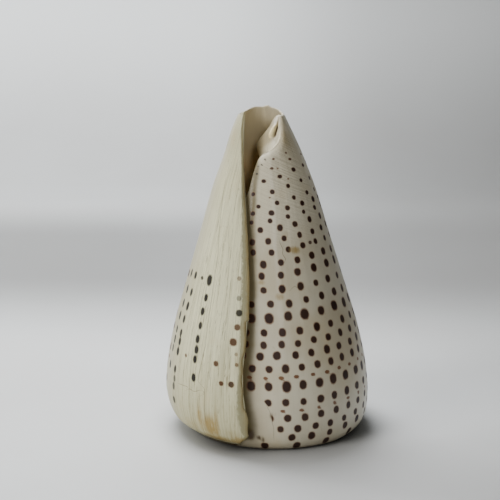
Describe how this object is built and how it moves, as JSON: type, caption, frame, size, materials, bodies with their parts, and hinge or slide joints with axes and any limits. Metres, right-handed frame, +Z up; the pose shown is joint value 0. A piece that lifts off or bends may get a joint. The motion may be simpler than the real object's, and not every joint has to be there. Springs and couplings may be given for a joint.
{
  "type": "cone shell",
  "caption": "Spotted cone shell standing on its flat spire, with a narrow slit down one side and an open front end at the top.",
  "frame": {"origin": "centre of the shell's box at its foot, on the flat face of the spire", "axes": "+Z up from the spire towards the open front end; the slit beside the outer lip faces -Y"},
  "size_m": [0.0738, 0.0746, 0.1159],
  "materials": {
    "spotted_shell": "glossy natural shell, cream white with dark brown spots"
  },
  "bodies": {
    "root": {"shell": "spotted_shell"}
  },
  "joints": []
}
